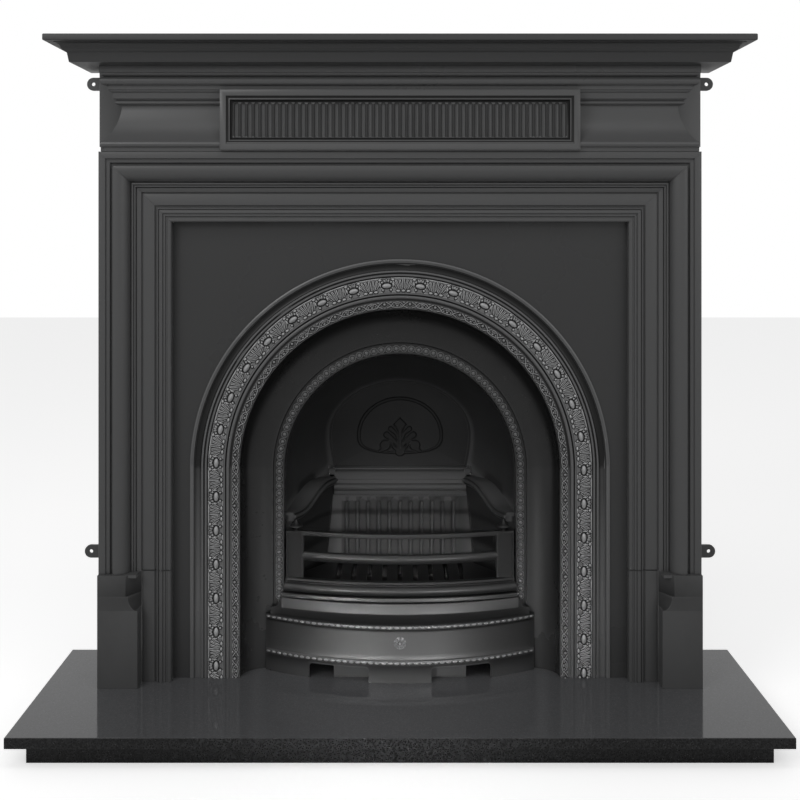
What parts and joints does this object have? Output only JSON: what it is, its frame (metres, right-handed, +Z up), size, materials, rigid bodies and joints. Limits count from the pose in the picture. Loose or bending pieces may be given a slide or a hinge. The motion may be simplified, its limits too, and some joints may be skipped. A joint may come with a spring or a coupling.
{
  "type": "cast iron fireplace",
  "caption": "Moulded cast surround with mantel shelf and fluted frieze round a coved arched insert with bowed bars, damper and ash-pit cover, on a two-slab stone hearth.",
  "frame": {"origin": "centre of the hearth's footprint, on the floor", "axes": "+Z up, the front faces -Y, +X on the right as one looks into the fire"},
  "size_m": [1.372, 0.4583, 1.2995],
  "materials": {
    "granite": "polished",
    "surround_iron": "blacked and burnished",
    "insert_iron": "blacked and burnished",
    "fire_iron": "matt black",
    "bar_iron": "satin",
    "pan_steel": "black sheet",
    "bolt_steel": "plain"
  },
  "bodies": {
    "fireplace": {"hearth_base_slab": "granite", "hearth_top_slab": "granite", "left_jamb": "surround_iron", "right_jamb": "surround_iron", "header": "surround_iron", "left_plinth_block": "surround_iron", "right_plinth_block": "surround_iron", "frieze": "surround_iron", "mantel_shelf": "surround_iron", "left_corner_plate": "bolt_steel", "right_corner_plate": "bolt_steel", "corner_bolt_1": "bolt_steel", "corner_bolt_2": "bolt_steel", "corner_bolt_3": "bolt_steel", "corner_bolt_4": "bolt_steel", "frieze_bolt_1": "bolt_steel", "frieze_bolt_2": "bolt_steel", "shelf_bolt_1": "bolt_steel", "shelf_bolt_2": "bolt_steel", "plinth_bolt_1": "bolt_steel", "plinth_bolt_2": "bolt_steel", "insert_front": "insert_iron", "insert_bolt_1": "bolt_steel", "insert_bolt_2": "bolt_steel", "insert_bolt_3": "bolt_steel", "insert_bolt_4": "bolt_steel", "insert_bolt_5": "bolt_steel", "insert_bolt_6": "bolt_steel", "left_cheek": "fire_iron", "right_cheek": "fire_iron", "fireback": "fire_iron", "ledge_and_rails": "fire_iron", "smoke_hood": "fire_iron", "hood_bolt_1": "bolt_steel", "hood_bolt_2": "bolt_steel", "hood_bolt_3": "bolt_steel", "cheek_bolt_1": "bolt_steel", "cheek_bolt_2": "bolt_steel", "cheek_bolt_3": "bolt_steel", "cheek_bolt_4": "bolt_steel", "fireback_bolt_1": "bolt_steel", "fireback_bolt_2": "bolt_steel", "fireback_bolt_3": "bolt_steel", "fireback_bolt_4": "bolt_steel", "damper_rod": "bolt_steel"},
    "damper": {"damper_flap": "fire_iron"},
    "bars": {"front_bars": "bar_iron", "left_finial": "bar_iron", "right_finial": "bar_iron"},
    "grate": {"bottom_grate": "fire_iron"},
    "ash_cover": {"ash_pit_cover": "bar_iron"},
    "ash_drawer": {"ash_pan": "pan_steel", "ash_pan_handle": "pan_steel"}
  },
  "joints": [
    {"name": "damper_hinge", "type": "hinge", "parent": "fireplace", "child": "damper", "pos_m": [0, 0.2598, 0.4234], "axis": [-1, 0, 0], "range_deg": [0, 35]},
    {"name": "bars_lift", "type": "slide", "parent": "fireplace", "child": "bars", "axis": [0, 0, 1], "range_m": [0, 0.04]},
    {"name": "grate_lift", "type": "slide", "parent": "fireplace", "child": "grate", "axis": [0, 0, 1], "range_m": [0, 0.06]},
    {"name": "ash_cover_slide", "type": "slide", "parent": "fireplace", "child": "ash_cover", "axis": [0, -1, 0], "range_m": [0, 0.3]},
    {"name": "ash_pan_slide", "type": "slide", "parent": "fireplace", "child": "ash_drawer", "axis": [0, -1, 0], "range_m": [0, 0.25]}
  ],
  "couplings": [
    {"joint": "ash_pan_slide", "follows": "ash_cover_slide", "ratio": 0.8}
  ]
}
